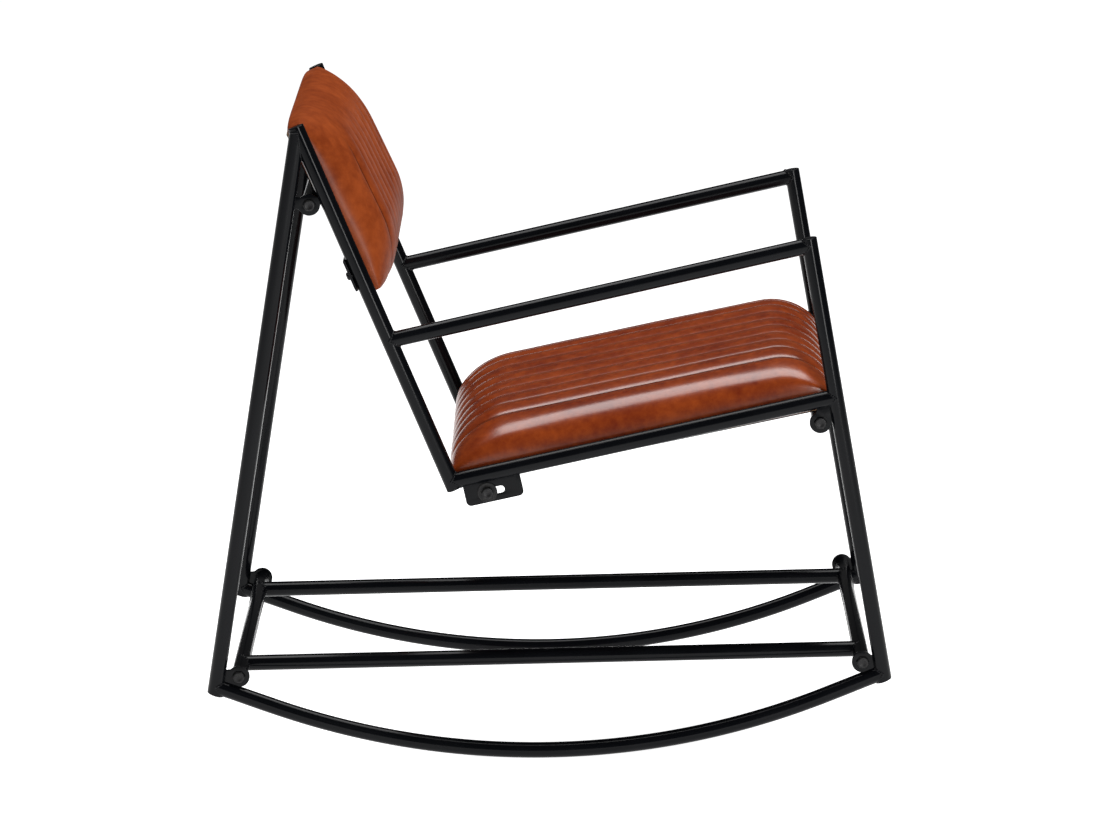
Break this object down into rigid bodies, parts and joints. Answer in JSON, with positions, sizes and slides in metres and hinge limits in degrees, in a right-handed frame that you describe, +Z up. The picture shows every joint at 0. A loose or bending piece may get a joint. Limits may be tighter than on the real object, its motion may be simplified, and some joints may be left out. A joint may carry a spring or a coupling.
{
  "type": "rocking chair",
  "caption": "Tubular steel rocking chair with curved rocker tubes, open arms, and a channelled leather seat and backrest bolted between two welded side frames.",
  "frame": {"origin": "on the floor, under the middle of the chair's length and width", "axes": "+X to the front, the way the sitter faces, +Y to the sitter's left, +Z up"},
  "size_m": [0.8246, 0.519, 0.7754],
  "materials": {
    "frame_steel": "satin",
    "black_zinc_steel": "satin",
    "cognac_leather": "satin",
    "seat_foam": "matte",
    "plywood": "matte",
    "lining_cloth": "matte"
  },
  "bodies": {
    "root": {"right_post": "frame_steel", "left_post": "frame_steel", "right_back_leg": "frame_steel", "left_back_leg": "frame_steel", "right_front_leg": "frame_steel", "left_front_leg": "frame_steel", "right_arm": "frame_steel", "left_arm": "frame_steel", "right_seat_rail": "frame_steel", "left_seat_rail": "frame_steel", "right_rocker": "frame_steel", "left_rocker": "frame_steel", "right_top_lug": "frame_steel", "left_top_lug": "frame_steel", "right_slotted_bracket": "frame_steel", "left_slotted_bracket": "frame_steel", "right_seat_front_lug": "frame_steel", "left_seat_front_lug": "frame_steel", "right_low_rear_lug": "frame_steel", "left_low_rear_lug": "frame_steel", "right_low_front_lug": "frame_steel", "left_low_front_lug": "frame_steel", "top_crossbar": "frame_steel", "seat_rear_crossbar": "frame_steel", "seat_front_crossbar": "frame_steel", "low_rear_crossbar": "frame_steel", "low_front_crossbar": "frame_steel", "right_low_rail": "frame_steel", "left_low_rail": "frame_steel", "back_strap": "frame_steel", "right_top_bolt": "black_zinc_steel", "left_top_bolt": "black_zinc_steel", "right_seat_rear_bolt": "black_zinc_steel", "left_seat_rear_bolt": "black_zinc_steel", "right_seat_front_bolt": "black_zinc_steel", "left_seat_front_bolt": "black_zinc_steel", "right_low_rear_bolt": "black_zinc_steel", "left_low_rear_bolt": "black_zinc_steel", "right_low_front_bolt": "black_zinc_steel", "left_low_front_bolt": "black_zinc_steel", "right_seat_rear_washer": "black_zinc_steel", "left_seat_rear_washer": "black_zinc_steel", "right_seat_rear_screw": "black_zinc_steel", "left_seat_rear_screw": "black_zinc_steel", "right_seat_front_screw": "black_zinc_steel", "left_seat_front_screw": "black_zinc_steel", "right_back_screw": "black_zinc_steel", "left_back_screw": "black_zinc_steel", "right_strap_screw": "black_zinc_steel", "left_strap_screw": "black_zinc_steel", "seat_cover": "cognac_leather", "back_cover": "cognac_leather", "seat_foam": "seat_foam", "back_foam": "seat_foam", "seat_board": "plywood", "back_board": "plywood", "seat_lining": "lining_cloth", "back_lining": "lining_cloth"}
  },
  "joints": []
}
